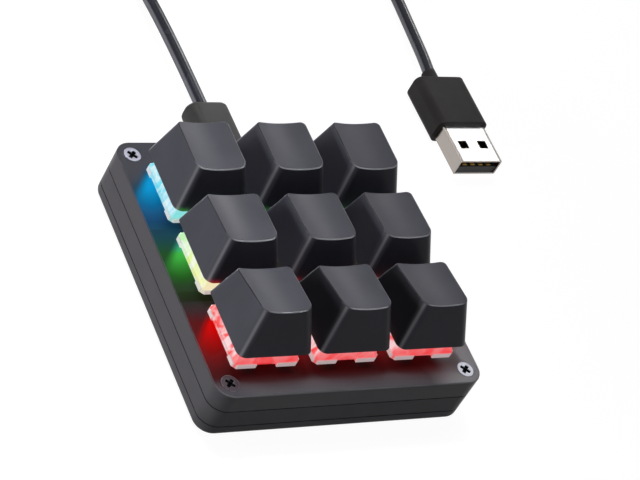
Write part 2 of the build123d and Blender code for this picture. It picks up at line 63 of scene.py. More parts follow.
Span = tuple[float, float]
Node = bpy.types.Node
Socket = bpy.types.NodeSocket


def shade(text: str) -> Colour:
    """Turn a display colour into the linear colour that shaders take.

    Args:
        text: The colour as six hexadecimal digits.

    Returns:
        Red, green, blue and an alpha of 1.
    """
    values = [int(text[i:i + 2], 16) / 255 for i in (0, 2, 4)]
    linear = [v / 12.92 if v <= 0.04045 else ((v + 0.055) / 1.055) ** 2.4 for v in values]
    return (linear[0], linear[1], linear[2], 1.0)


def grey(level: float) -> Colour:
    """A linear grey."""
    return (level, level, level, 1.0)


def span(start: float, end: float) -> Span:
    """Where an ease starts and ends, from millimetres."""
    return (start * MM, end * MM)


BLACK, WHITE = grey(0.0), grey(1.0)


class Sheet:
    """Short hand for filling one node tree."""

    def __init__(self, tree: bpy.types.NodeTree) -> None:
        """Keep the tree that the nodes go into."""
        self.tree = tree

    def feed(self, socket: Socket, value: object) -> None:
        """Link a socket to another one, or set its value.

        Args:
            socket: The input to fill.
            value: An output socket, or a plain value.
        """
        if isinstance(value, Socket):
            self.tree.links.new(value, socket)
        else:
            socket.default_value = value

    def add(self, kind: str, inputs: dict | None = None, **settings: object) -> Node:
        """Add a node.

        Args:
            kind: The node's type name.
            inputs: What goes into its sockets, by name or number.
            **settings: The node's own options.

        Returns:
            The new node.
        """
        node = self.tree.nodes.new(kind)
        for name, value in settings.items():
            setattr(node, name, value)
        for name, value in (inputs or {}).items():
            self.feed(node.inputs[name], value)
        return node

    def math(self, operation: str, *values: object, clamp: bool = False) -> Socket:
        """Add a Math node.

        Args:
            operation: What it does.
            *values: Its operands, sockets or numbers.
            clamp: Whether the result stays from 0 to 1.

        Returns:
            Its result.
        """
        inputs = dict(enumerate(values))
        return self.add("ShaderNodeMath", inputs, operation=operation, use_clamp=clamp).outputs[0]

    def times(self, first: object, *others: object) -> Socket:
        """Multiply values.

        Args:
            first: A socket or number.
            *others: More of them.

        Returns:
            Their product.
        """
        for other in others:
            first = self.math("MULTIPLY", first, other)
        return first

    def slope(self, value: object, start: float, end: float, kind: str = "LINEAR") -> Socket:
        """Map a value from start, which gives 0, to end, which gives 1.

        Args:
            value: A socket or number.
            start: Where the slope starts; it may be the larger one.
            end: Where it ends.
            kind: The way between them.

        Returns:
            A value from 0 to 1.
        """
        inputs = {"Value": value, "From Min": start, "From Max": end}
        return self.add("ShaderNodeMapRange", inputs, interpolation_type=kind).outputs["Result"]

    def ease(self, value: object, start: float, end: float) -> Socket:
        """Smooth step of a value from start, which gives 0, to end, which gives 1."""
        return self.slope(value, start, end, "SMOOTHSTEP")

    def mix(self, share: object, first: object, second: object, blend: str = "MIX") -> Socket:
        """Mix two colours.

        Args:
            share: How much of the second one is taken.
            first: A colour or a socket.
            second: A colour or a socket.
            blend: The way they are mixed.

        Returns:
            The mixed colour.
        """
        inputs = {0: share, 6: first, 7: second}
        return self.add("ShaderNodeMix", inputs, data_type="RGBA", blend_type=blend).outputs[2]

    def dim(self, colour: Socket, level: float) -> Socket:
        """Multiply a colour by a plain level."""
        return self.mix(1.0, colour, grey(level), "MULTIPLY")

    def ramp(self, value: object, stops: dict[float, Colour]) -> Socket:
        """Colours along a value.

        Args:
            value: Where to read, from 0 to 1.
            stops: The colour at each place.

        Returns:
            The colour there.
        """
        node = self.add("ShaderNodeValToRGB", {"Fac": value})
        elements = node.color_ramp.elements
        places = sorted(stops)
        elements[0].position, elements[1].position = places[0], places[-1]
        elements[0].color, elements[1].color = stops[places[0]], stops[places[-1]]
        for place in places[1:-1]:
            elements.new(place).color = stops[place]
        return node.outputs["Color"]

    def own(self) -> Socket:
        """The object's own coordinates."""
        return self.add("ShaderNodeTexCoord").outputs["Object"]

    def normal(self) -> Socket:
        """The way that the surface faces."""
        return self.add("ShaderNodeNewGeometry").outputs["Normal"]

    def split(self, vector: Socket) -> dict[str, Socket]:
        """The parts of a vector along X, Y and Z."""
        return dict(self.add("ShaderNodeSeparateXYZ", {0: vector}).outputs.items())


class Group:
    """A shared effect, made once as a shader node group."""

    title = "effect"
    takes: dict[str, tuple[str, float]] = {}
    gives: dict[str, str] = {}
    _made: dict[str, bpy.types.NodeTree] = {}

    def tree(self) -> bpy.types.NodeTree:
        """Make the group's tree at its first use.

        Returns:
            The tree.
        """
        if self.title not in Group._made:
            tree = bpy.data.node_groups.new(self.title, "ShaderNodeTree")
            for name, (kind, value) in self.takes.items():
                socket = tree.interface.new_socket(name, in_out="INPUT", socket_type=kind)
                socket.default_value = value
            for name, kind in self.gives.items():
                tree.interface.new_socket(name, in_out="OUTPUT", socket_type=kind)
            sheet = Sheet(tree)
            into = sheet.add("NodeGroupInput")
            sheet.add("NodeGroupOutput", self.fill(sheet, dict(into.outputs.items())))
            Group._made[self.title] = tree
        return Group._made[self.title]

    def fill(self, sheet: Sheet, into: dict[str, Socket]) -> dict[str, Socket]:
        """Lay out the effect's nodes.

        Args:
            sheet: The tree to fill.
            into: The group's inputs.

        Returns:
            What goes to each output.
        """
        raise NotImplementedError

    def place(self, sheet: Sheet, **inputs: object) -> dict[str, Socket]:
        """Put the group into a material.

        Args:
            sheet: Where it goes.
            **inputs: Its values by name.

        Returns:
            Its outputs by name.
        """
        node = sheet.add("ShaderNodeGroup", inputs, node_tree=self.tree())
        return dict(node.outputs.items())


class MouldGrain(Group):
    """Fine grain of a moulded or blasted surface, with slow mottling."""

    title = "mould grain"
    takes = {"Size": (VALUE, 0.3 * MM), "Mottle Size": (VALUE, 9 * MM)}
    gives = {"Height": VALUE, "Mottle": VALUE}
    noises = {"Height": ("Size", 2.0), "Mottle": ("Mottle Size", 3.0)}

    def fill(self, sheet: Sheet, into: dict[str, Socket]) -> dict[str, Socket]:
        """Two noises on the object's own coordinates.

        Args:
            sheet: The tree to fill.
            into: The group's inputs.

        Returns:
            The grain's height and the mottling.
        """
        found, where = {}, sheet.own()
        for name, (size, detail) in self.noises.items():
            scale = sheet.math("DIVIDE", 1.0, into[size])
            inputs = {"Vector": where, "Scale": scale, "Detail": detail}
            found[name] = sheet.add("ShaderNodeTexNoise", inputs).outputs["Fac"]
        return found


class SoftEdge(Group):
    """Slightly rounded edges, tinted by use and painted highlight, with painted highlight and shade
    on rims and corners.
    """

    title = "soft edge"
    takes = {"Radius": (VALUE, 0.2 * MM), "Spread": (VALUE, 0.12)}
    gives = {"Normal": VECTOR, "Edge Wear And Light": VALUE, "Corner": VALUE, "Rim": VALUE, "Left Rim Shade": VALUE}
    samples = 6
    upright: Span = (0.4, 0.68)
    leftward: Span = (0.3, -0.3)
    rim_low: Span = (0.52, 0.62)
    rim_high: Span = (0.92, 0.85)
    left_rim_shade: Span = (-0.25, -0.45)
    side_share = 0.3
    frontward: Span = (-0.25, 0.72)

    def fill(self, sheet: Sheet, into: dict[str, Socket]) -> dict[str, Socket]:
        """Compare the rounded normal with the flat one, and find corners and rims by their way.

        Args:
            sheet: The tree to fill.
            into: The group's inputs.

        Returns:
            The rounded normal, and the shares of an edge tinted by use and painted highlight, a
            painted highlight on a left upright corner and on a front rim, and painted shade on a
            left rim.
        """
        flat, radius = sheet.normal(), {"Radius": into["Radius"]}
        rounded = sheet.add("ShaderNodeBevel", radius, samples=self.samples).outputs["Normal"]
        vectors = {0: flat, 1: rounded}
        along = sheet.add("ShaderNodeVectorMath", vectors, operation="DOT_PRODUCT").outputs["Value"]
        off = sheet.math("SUBTRACT", 1.0, along)
        edge_wear_and_light = sheet.math("DIVIDE", off, into["Spread"], clamp=True)
        way = sheet.split(flat)
        sides = [sheet.math("ABSOLUTE", way[axis]) for axis in "XY"]
        # Painted highlight on left upright corners.
        corner = sheet.ease(sheet.math("MINIMUM", *sides), *self.upright)
        corner = sheet.times(corner, sheet.ease(way["X"], *self.leftward))
        rim = sheet.times(sheet.ease(way["Z"], *self.rim_low), sheet.ease(way["Z"], *self.rim_high))
        # Painted shade on the left part of upper rims.
        left_rim_shade = sheet.times(rim, sheet.ease(way["X"], *self.left_rim_shade))
        # Painted highlight on the front part of upper rims.
        near = sheet.math("SUBTRACT", sheet.times(way["X"], self.side_share), way["Y"])
        rim = sheet.times(rim, sheet.ease(near, *self.frontward))
        return {"Normal": rounded, "Edge Wear And Light": edge_wear_and_light, "Corner": corner, "Rim": rim, "Left Rim Shade": left_rim_shade}


class KeyCell(Group):
    """Place within the cell of the nearest key."""

    title = "key cell"
    takes = {"Pitch": (VALUE, 19.05 * MM)}
    gives = {"Across": VALUE, "Along": VALUE, "Side": VALUE, "Back": VALUE}
    last_cell = 1.0

    def fill(self, sheet: Sheet, into: dict[str, Socket]) -> dict[str, Socket]:
        """Subtract the nearest key's centre from the place.

        Args:
            sheet: The tree to fill.
            into: The group's inputs.

        Returns:
            The place across and along the key's cell, and that on the whole keypad.
        """
        place = sheet.split(sheet.own())
        found = {"Side": place["X"], "Back": place["Y"]}
        for name, axis in (("Across", "X"), ("Along", "Y")):
            cell = sheet.math("ROUND", sheet.math("DIVIDE", place[axis], into["Pitch"]))
            cell = sheet.math("MAXIMUM", cell, -self.last_cell)
            cell = sheet.math("MINIMUM", cell, self.last_cell)
            found[name] = sheet.math("SUBTRACT", place[axis], sheet.times(cell, into["Pitch"]))
        return found


class RowLight(Group):
    """The colours of the lights under the keys, which run from front to back."""

    title = "row light"
    takes = {"Back": (VALUE, 0.0)}
    gives = {"Lens": COLOUR, "Spill": COLOUR, "Shade": VALUE}
    reach = 28 * MM
    lens = {-28: "fa2630", -11: "fc4a48", -9.5: "f8d8c0", -6: "f0f2b2", 0: "e4f69a",
            9.5: "a4f0b8", 13: "62d8ec", 28: "74e0f2"}
    spill = {-28: "7c0303", -15: "c40202", -12: "6a1808", -9.5: "34400e", -5: "205814",
             3: "3aa83e", 8: "2590b0", 12: "026caf", 20: "038cc4"}
    gloom = {-28: 0.92, -15: 0.85, -11.5: 0.5, -6: 0.75, 3: 0.85, 28: 0.85}

    def fill(self, sheet: Sheet, into: dict[str, Socket]) -> dict[str, Socket]:
        """Read the ramps along the keypad, whose stops stand at millimetres from its middle.

        Args:
            sheet: The tree to fill.
            into: The group's inputs.

        Returns:
            The colour in the clear plastic, the one painted on the plate as a glow, and the painted
            shade on the plate beside it.
        """
        at = sheet.slope(into["Back"], -self.reach, self.reach)
        found = {}
        for name, turn, stops in (("Lens", shade, self.lens), ("Spill", shade, self.spill),
                                  ("Shade", grey, self.gloom)):
            places = {(mm * MM + self.reach) / (2 * self.reach): turn(v) for mm, v in stops.items()}
            found[name] = sheet.ramp(at, places)
        return found


@dataclass(frozen=True)
class Finish:
    """A surface finish: a grained, slightly mottled colour, with edges tinted by use and by painted
    highlight and shade.
    """

    name: str
    colour: str
    roughness: float
    specular: float = 0.5
    metallic: float = 0.0
    grain: float = 0.3 * MM
    depth: float = 0.15
    relief: float = 0.02 * MM
    mottle: float = 0.12
    mottle_span: Span = (0.3, 0.7)
    rough_swing: float = 0.08
    edge: float = 0.2 * MM
    # Edge tint for use and painted highlight, and strengths of painted corner and rim highlights and
    # painted left rim shade.
    edge_wear_and_light: float = 0.25
    wear_and_painted_light_colour: str = "9a9aa0"
    edge_gloss: float = 0.25
    corner_highlight: float = 0.0
    rim: float = 0.0
    left_rim_shade: float = 0.0

    def material(self) -> bpy.types.Material:
        """Build the finish.

        Returns:
            The material.
        """
        made = bpy.data.materials.new(self.name)
        made.use_nodes = True
        sheet = Sheet(made.node_tree)
        shader = made.node_tree.nodes["Principled BSDF"]
        shader.inputs["Metallic"].default_value = self.metallic
        shader.inputs["Specular IOR Level"].default_value = self.specular
        grain = MouldGrain().place(sheet, Size=self.grain)
        edge = SoftEdge().place(sheet, Radius=self.edge)
        tone = sheet.ease(grain["Mottle"], *self.mottle_span)
        # Edges tinted by use and by painted highlight, with painted highlights on left corners and
        # front rims.
        wear_and_painted_light = sheet.times(edge["Edge Wear And Light"], self.edge_wear_and_light)
        wear_and_painted_light = sheet.math("MAXIMUM", wear_and_painted_light, sheet.times(edge["Corner"], self.corner_highlight))
        wear_and_painted_light = sheet.math("MAXIMUM", wear_and_painted_light, sheet.times(edge["Rim"], self.rim))
        own = shade(self.colour)
        dark = tuple(c * (1 - self.mottle) for c in own[:3]) + (1.0,)
        base = self.tint(sheet, shader, sheet.mix(tone, dark, own))
        # Painted shade on the left of upper rims.
        base = sheet.mix(sheet.times(edge["Left Rim Shade"], self.left_rim_shade), base, BLACK)
        sheet.feed(shader.inputs["Base Color"], sheet.mix(wear_and_painted_light, base, shade(self.wear_and_painted_light_colour)))
        least = self.roughness - self.rough_swing / 2
        rough = sheet.math("MULTIPLY_ADD", tone, self.rough_swing, least)
        rough = sheet.math("MULTIPLY_ADD", wear_and_painted_light, -self.edge_gloss, rough, clamp=True)
        sheet.feed(shader.inputs["Roughness"], rough)
        bump = {"Height": self.height(sheet, grain["Height"]), "Strength": self.depth,
                "Distance": self.relief, "Normal": edge["Normal"]}
        sheet.feed(shader.inputs["Normal"], sheet.add("ShaderNodeBump", bump).outputs["Normal"])
        return made

    def tint(self, sheet: Sheet, shader: Node, base: Socket) -> Socket:
        """Change the colour over the surface; a plain finish keeps it."""
        return base

    def height(self, sheet: Sheet, grain: Socket) -> Socket:
        """Change the relief; a plain finish has its grain alone."""
        return grain

    def shine(self, sheet: Sheet, shader: Node, glow: Socket, level: float = 1.0) -> None:
        """Let the surface give off a colour.

        Args:
            sheet: The material's tree.
            shader: Its shader.
            glow: The colour.
            level: Its strength.
        """
        sheet.feed(shader.inputs["Emission Color"], glow)
        shader.inputs["Emission Strength"].default_value = level


@dataclass(frozen=True)
class LayerFinish(Finish):
    """A layer of the case, with painted shade lines in the seams where the layers meet."""

    seams: tuple[float, ...] = (3.3 * MM, 8.2 * MM)
    seam_edge: Span = span(0.17, 0.068)
    seam_shade_colour: str = "151417"

    def line(self, sheet: Sheet, colour: object) -> Socket:
        """Draw painted shade lines in the seams.

        Args:
            sheet: The material's tree.
            colour: The colour beside the lines.

        Returns:
            The colour with the lines.
        """
        high = sheet.split(sheet.own())["Z"]
        # Painted shade line along each seam.
        for seam in self.seams:
            off = sheet.math("ABSOLUTE", sheet.math("SUBTRACT", high, seam))
            colour = sheet.mix(sheet.ease(off, *self.seam_edge), colour, shade(self.seam_shade_colour))
        return colour

    def tint(self, sheet: Sheet, shader: Node, base: Socket) -> Socket:
        """Add the seams' painted shade lines to the plain colour."""
        return self.line(sheet, base)


@dataclass(frozen=True)
class PlateFinish(LayerFinish):
    """The case's top layer: a darker top with the key lights' spill, shade and sheen painted on, and
    paler sides.
    """

    side: str = "666469"
    upward: Span = (0.5, 0.95)
    flange: float = 7.8 * MM
    lean: float = 1.1
    beam_start: Span = span(7.2, 3.8)
    beam_run: Span = span(-8.6, 3.2)
    beam_fan: Span = span(8.4, -1.0)
    falloff: float = 1.6
    spill_level: float = 1.15
    shade_under_glow: float = 2.0
    flank_inner: Span = span(-5.0, 0.3)
    flank_outer: Span = span(10.0, 5.0)
    flank_back: Span = span(28.4, 24.6)
    flank_front: Span = span(-31.5, -28.5)
    flank_level: float = 0.146
    plain_side: Span = span(20.0, 25.0)
    plain_back: Span = span(-20.0, -25.0)
    haze_start: Span = span(5.3, 7.3)
    haze_end: Span = span(14.3, 10.0)
    haze_side: Span = span(24.5, 20.5)
    haze_level: float = 0.13
    tab: float = 5.1 * MM
    tab_edge: Span = span(3.2, 1.2)
    tab_end: Span = span(10.4, 8.3)
    tab_shade: Span = (0.3, 0.4)
    close_end: Span = span(13.0, 8.6)
    close_level: float = 0.92
    corner_side: Span = span(15.0, 26.0)
    corner_back: Span = span(-19.0, -25.5)
    corner_sheen: float = 0.95
    strip_side: Span = span(-29.0, -22.0)
    strip_back: Span = span(-27.5, -31.5)
    strip_sheen: Span = (0.12, 0.13)

    def beams(self, sheet: Sheet, along: Socket, off: Socket, lean: Socket) -> Socket:
        """Painted beams of light that lean out of each switch's side slots.

        Args:
            sheet: The material's tree.
            along: The place along the key's cell.
            off: The distance from the switch's flange.
            lean: How far a beam leans to the front there.

        Returns:
            Their share of the light.
        """
        beam = sheet.math("ADD", along, lean)
        fade = sheet.math("POWER", sheet.slope(beam, *self.beam_run), self.falloff)
        fan = sheet.ease(off, *self.beam_fan)
        return sheet.times(fan, sheet.ease(beam, *self.beam_start), fade)

    def flank(self, sheet: Sheet, back: Socket, off: Socket, lean: Socket) -> Socket:
        """The strip beside the switches that has weak, wide painted light and lies in painted shade.

        Args:
            sheet: The material's tree.
            back: The place along the keypad.
            off: The distance from the switch's flange.
            lean: How far a beam leans to the front there.

        Returns:
            The strip's share.
        """
        strip = sheet.times(sheet.ease(off, *self.flank_inner), sheet.ease(off, *self.flank_outer))
        top = sheet.ease(sheet.math("ADD", back, lean), *self.flank_back)
        return sheet.times(strip, top, sheet.ease(back, *self.flank_front))

    def haze(self, sheet: Sheet, across: Socket, ahead: Socket) -> Socket:
        """Weak painted light in front of the switches, less of it under their tabs.

        Args:
            sheet: The material's tree.
            across: The distance from the key's middle to its sides.
            ahead: The distance from the key's middle to its front.

        Returns:
            Its share of the light.
        """
        off = sheet.math("ABSOLUTE", sheet.math("SUBTRACT", across, self.tab))
        least, more = self.tab_shade
        tab = sheet.math("MULTIPLY_ADD", sheet.ease(off, *self.tab_edge), more, least)
        tab = sheet.times(tab, sheet.ease(ahead, *self.tab_end))
        open_share = sheet.math("SUBTRACT", 1.0, tab)
        return sheet.times(sheet.ease(ahead, *self.haze_end), self.haze_level, open_share)

    def painted_sheen(self, sheet: Sheet, side: Socket, back: Socket) -> Socket:
        """Find the painted sheen on the right front corner and on the front strip.

        Args:
            sheet: The material's tree.
            side: The place across the keypad.
            back: The place along it.

        Returns:
            How much painted sheen they have.
        """
        corner = sheet.times(sheet.ease(side, *self.corner_side), self.corner_sheen,
                             sheet.ease(back, *self.corner_back))
        least, more = self.strip_sheen
        strip = sheet.math("MULTIPLY_ADD", sheet.ease(side, *self.strip_side), more, least)
        return sheet.math("MAXIMUM", corner, sheet.times(strip, sheet.ease(back, *self.strip_back)))

    def tint(self, sheet: Sheet, shader: Node, base: Socket) -> Socket:
        """Paint the spilt light on as a glow, and paint shade on the plate round it.

        Args:
            sheet: The material's tree.
            shader: Its shader.
            base: The plate's own colour.

        Returns:
            The plate's colour with painted shade near the switches, painted sheen in front, and
            paler sides.
        """
        cell = KeyCell().place(sheet)
        side, back, along = cell["Side"], cell["Back"], cell["Along"]
        light = RowLight().place(sheet, Back=back)
        upward = sheet.ease(sheet.split(sheet.normal())["Z"], *self.upward)
        across = sheet.math("ABSOLUTE", cell["Across"])
        ahead = sheet.times(along, -1.0)
        off = sheet.math("SUBTRACT", across, self.flange)
        lean = sheet.times(sheet.math("MAXIMUM", off, 0.0), self.lean)
        plain = sheet.times(sheet.ease(side, *self.plain_side), sheet.ease(back, *self.plain_back))
        rest = sheet.math("SUBTRACT", 1.0, plain)
        flank = sheet.times(self.flank(sheet, back, off, lean), rest)
        beams = sheet.times(self.beams(sheet, along, off, lean), rest)
        beside = sheet.math("MULTIPLY_ADD", flank, self.flank_level, beams)
        out = sheet.times(sheet.ease(ahead, *self.haze_start), sheet.ease(side, *self.haze_side))
        haze = sheet.times(self.haze(sheet, across, ahead), out)
        lit = sheet.math("MAXIMUM", beside, haze)
        lit = sheet.math("MULTIPLY", lit, upward, clamp=True)
        # Painted light: the key lights' spill is painted on the plate as a glow.
        self.shine(sheet, shader, sheet.mix(lit, BLACK, light["Spill"]), self.spill_level)
        # Painted sheen: the right front corner and the front strip are painted paler.
        with_painted_light = sheet.mix(self.painted_sheen(sheet, side, back), base, shade(self.wear_and_painted_light_colour))
        own = sheet.mix(upward, self.line(sheet, shade(self.side)), with_painted_light)
        # Painted shade ahead of and beside the switches, and under the painted glow.
        painted_shade = sheet.times(sheet.ease(ahead, *self.close_end), self.close_level, out)
        painted_shade = sheet.math("MAXIMUM", painted_shade, sheet.times(flank, light["Shade"]))
        dark = sheet.math("MULTIPLY", lit, self.shade_under_glow, clamp=True)
        dark = sheet.math("MAXIMUM", dark, sheet.times(painted_shade, upward))
        return sheet.mix(dark, own, BLACK)


@dataclass(frozen=True)
class LitFinish(Finish):
    """Milky or clear switch plastic, with the key light's colour painted on as a glow and a tint."""

    light_tint: float = 0.85
    clear: float = 0.0
    lip: Span = span(7.3, 7.8)
    slot: Span = span(4.6, 5.2)
    streak: Point = (5.0 * MM, 1.8 * MM, 3.2 * MM)
    slant: float = math.radians(27)
    swirl: float = 0.9
    pale_span: Span = (0.34, 0.64)
    pale_level: float = 0.72
    pale_colour: Colour = (0.92, 0.93, 0.95, 1.0)
    end_wall: Span = span(6.0, 7.0)
    end_drop: float = 0.8
    level: float = 0.74
    milk: Colour = (1.0, 0.98, 1.0, 1.0)
    milk_share: float = 0.8
    milk_level: float = 0.4
    body: float = 0.25
    gap_side: Span = span(14.0, 12.0)
    gap_front: Span = span(-14.0, -11.0)
    gap_back: Span = span(25.5, 24.0)
    gap_shade: float = 0.97

    def gap(self, sheet: Sheet, side: Socket, back: Socket) -> Socket:
        """The gaps between the columns, where the plastic's glow is taken out and shade is painted.

        Args:
            sheet: The material's tree.
            side: The place across the keypad.
            back: The place along it.

        Returns:
            How much painted shade there is.
        """
        inner = sheet.ease(sheet.math("ABSOLUTE", side), *self.gap_side)
        front, rear = sheet.ease(back, *self.gap_front), sheet.ease(back, *self.gap_back)
        return sheet.times(inner, front, rear, self.gap_shade)

    def tint(self, sheet: Sheet, shader: Node, base: Socket) -> Socket:
        """Paint the key light into the plastic as a glow, paler in slanting streaks, with milky
        ends.

        Args:
            sheet: The material's tree.
            shader: Its shader.
            base: The plastic's own colour.

        Returns:
            The plastic's colour with the light's colour painted into it, and painted shade in the
            gaps.
        """
        cell = KeyCell().place(sheet)
        lens = RowLight().place(sheet, Back=cell["Back"])["Lens"]
        turn = {"Vector": sheet.own(), "Rotation": (0.0, 0.0, self.slant), "Scale": self.streak}
        turned = sheet.add("ShaderNodeMapping", turn, vector_type="TEXTURE").outputs["Vector"]
        noise = {"Vector": turned, "Scale": 1.0, "Detail": 1.0, "Distortion": self.swirl}
        cloud = sheet.add("ShaderNodeTexNoise", noise).outputs["Fac"]
        across, along = [sheet.math("ABSOLUTE", cell[name]) for name in ("Across", "Along")]
        sides = sheet.math("MULTIPLY_ADD", sheet.ease(along, *self.end_wall), -self.end_drop, 1.0)
        pale = sheet.times(sheet.ease(cloud, *self.pale_span), self.pale_level, sides)
        colour = sheet.mix(pale, lens, self.pale_colour)
        milky = sheet.times(sheet.ease(across, *self.lip), sheet.ease(along, *self.slot))
        milky = sheet.math("MAXIMUM", milky, sheet.ease(along, *self.lip))
        edge = sheet.dim(sheet.mix(self.milk_share, lens, self.milk), self.milk_level)
        glow = sheet.mix(milky, sheet.dim(colour, self.level), edge)
        gap = self.gap(sheet, cell["Side"], cell["Back"])
        # Painted glow in the key light's colour, taken out in the gaps.
        self.shine(sheet, shader, sheet.mix(gap, glow, BLACK))
        shader.inputs["Transmission Weight"].default_value = self.clear
        # Painted light: the plastic's own colour is tinted by the light's colour.
        light_tint = sheet.times(sheet.math("SUBTRACT", 1.0, milky), self.light_tint)
        light_tinted = sheet.mix(light_tint, base, sheet.dim(colour, self.body))
        # Painted shade: the plastic goes black in the gaps between the columns.
        return sheet.mix(gap, light_tinted, BLACK)


@dataclass(frozen=True)
class CapFinish(Finish):
    """Key plastic, with a painted glow of the row ahead low on its front wall, and painted shade on
    some left walls.
    """

    ahead: float = 8.0 * MM
    leak_high: Span = span(18.9, 17.7)
    leak_side: Span = span(-4.9, -6.4)
    leak_rows: Span = span(-20.0, -15.0)
    leak_level: float = 0.45
    frontward: Span = (-0.5, -0.8)
    dim_side: Span = span(-20.0, -12.0)
    dim_row: Span = span(-9.4, -9.8)
    dim_level: float = 0.7
    leftward: Span = (-0.5, -0.8)

    def tint(self, sheet: Sheet, shader: Node, base: Socket) -> Socket:
        """Paint the glow of the row ahead on the low left corner; the front row has none ahead of
        it.

        Args:
            sheet: The material's tree.
            shader: Its shader.
            base: The plastic's own colour.

        Returns:
            The plastic's own colour, with painted shade on left walls that stand in a neighbour's
            shade.
        """
        cell = KeyCell().place(sheet)
        side, back = cell["Side"], cell["Back"]
        light = RowLight().place(sheet, Back=sheet.math("SUBTRACT", back, self.ahead))
        way, high = sheet.split(sheet.normal()), sheet.split(sheet.own())["Z"]
        # Painted light: the glow of the row ahead on the low left corner of the front wall.
        low_corner = sheet.times(sheet.ease(high, *self.leak_high),
                                 sheet.ease(cell["Across"], *self.leak_side))
        leak = sheet.times(low_corner, self.leak_level, sheet.ease(way["Y"], *self.frontward),
                           sheet.ease(back, *self.leak_rows))
        self.shine(sheet, shader, sheet.mix(leak, BLACK, light["Spill"]))
        # Painted shade on the left walls of the front middle and right caps.
        dim = sheet.times(sheet.ease(way["X"], *self.leftward), self.dim_level,
                          sheet.ease(side, *self.dim_side), sheet.ease(back, *self.dim_row))
        return sheet.mix(dim, base, BLACK)


@dataclass(frozen=True)
class RecessFinish(Finish):
    """A metal with painted shade in its hollows below a height, as in the cross of a screw."""

    hollow_edge: Span = span(13.0, 12.85)
    hollow_shade: str = "060607"
    front_row: Span = span(-10.0, -20.0)
    right_half: Span = span(-5.0, 5.0)
    dark_reflection: str = "4a444a"
    bright: str = "b0b1ba"

    def tint(self, sheet: Sheet, shader: Node, base: Socket) -> Socket:
        """Paint shade below the height, and darker and paler reflections on the two front screws.

        Args:
            sheet: The material's tree.
            shader: Its shader; not used.
            base: The metal's colour.

        Returns:
            The metal's colour with painted shade in its hollows and painted reflections on the front
            screws.
        """
        place = sheet.split(sheet.own())
        # Painted reflection: darker on the front left screw, paler on the front right one.
        front = sheet.ease(place["Y"], *self.front_row)
        right = sheet.ease(place["X"], *self.right_half)
        with_painted_light = sheet.mix(front, base, sheet.mix(right, shade(self.dark_reflection), shade(self.bright)))
        # Painted shade in the hollows below the height.
        return sheet.mix(sheet.ease(place["Z"], *self.hollow_edge), with_painted_light, shade(self.hollow_shade))


@dataclass(frozen=True)
class PressedFinish(Finish):
    """Bright pressed sheet, with painted shade on its upright sides and along the plug shell's
    folds.
    """

    side: str = "a8a19b"
    flat: Span = (0.5, 0.9)
    fold_shade: str = "8a847e"
    fold_edge: Span = span(5.05, 5.43)
    centre: float = 68.7 * MM

    def tint(self, sheet: Sheet, shader: Node, base: Socket) -> Socket:
        """Paint shade on the upright sides and along the folds.

        Args:
            sheet: The material's tree.
            shader: Its shader; not used.
            base: The sheet's colour.

        Returns:
            The colour of flats and sides.
        """
        up = sheet.math("ABSOLUTE", sheet.split(sheet.normal())["Z"])
        place = sheet.split(sheet.own())["X"]
        off = sheet.math("ABSOLUTE", sheet.math("SUBTRACT", place, self.centre))
        # Painted shade along the folds of the plug shell.
        top = sheet.mix(sheet.ease(off, *self.fold_edge), base, shade(self.fold_shade))
        # Painted shade: upright sides take a darker colour.
        return sheet.mix(sheet.ease(up, *self.flat), shade(self.side), top)


@dataclass(frozen=True)
class JacketFinish(Finish):
    """A cable jacket, dark along its crest, with painted light along its sides."""

    side: str = "8a8a94"
    side_light_level: float = 0.8
    below_crest: Span = (0.6, 0.3)
    above_floor: Span = (-0.3, 0.05)

    def tint(self, sheet: Sheet, shader: Node, base: Socket) -> Socket:
        """Paint light on the sides.

        Args:
            sheet: The material's tree.
            shader: Its shader; not used.
            base: The jacket's colour.

        Returns:
            The colour of crest and sides.
        """
        up = sheet.split(sheet.normal())["Z"]
        # Painted light on the sides of the cable.
        share = sheet.times(sheet.ease(up, *self.below_crest), sheet.ease(up, *self.above_floor),
                            self.side_light_level)
        return sheet.mix(share, base, shade(self.side))


@dataclass(frozen=True)
class TraceFinish(Finish):
    """A lacquered circuit board with faint traces under the lacquer."""

    trace: str = "2c3a34"
    trace_width: float = 0.228 * MM
    trace_blur: float = 0.2
    lane: float = 1.9 * MM
    run: float = 11.4 * MM

    def tint(self, sheet: Sheet, shader: Node, base: Socket) -> Socket:
        """Draw lanes of traces.

        Args:
            sheet: The material's tree.
            shader: Its shader; not used.
            base: The lacquer's colour.

        Returns:
            The lacquer with traces.
        """
        brick = {"Vector": sheet.own(), "Scale": 1.0, "Mortar Size": self.trace_width,
                 "Mortar Smooth": self.trace_blur, "Brick Width": self.run, "Row Height": self.lane}
        lanes = sheet.add("ShaderNodeTexBrick", brick).outputs["Fac"]
        return sheet.mix(lanes, base, shade(self.trace))


@dataclass(frozen=True)
class WovenFinish(Finish):
    """A woven band."""

    thread_scale: float = 0.3 / (0.45 * MM)
    grain_share: float = 0.3

    def height(self, sheet: Sheet, grain: Socket) -> Socket:
        """Crossed threads over the grain.

        Args:
            sheet: The material's tree.
            grain: The grain's height.

        Returns:
            The height of the weave.
        """
        inputs = {"Vector": sheet.own(), "Scale": self.thread_scale}
        waves = [sheet.add("ShaderNodeTexWave", inputs, bands_direction=way).outputs["Fac"]
                 for way in "YZ"]
        return sheet.math("MULTIPLY_ADD", grain, self.grain_share, sheet.times(*waves))


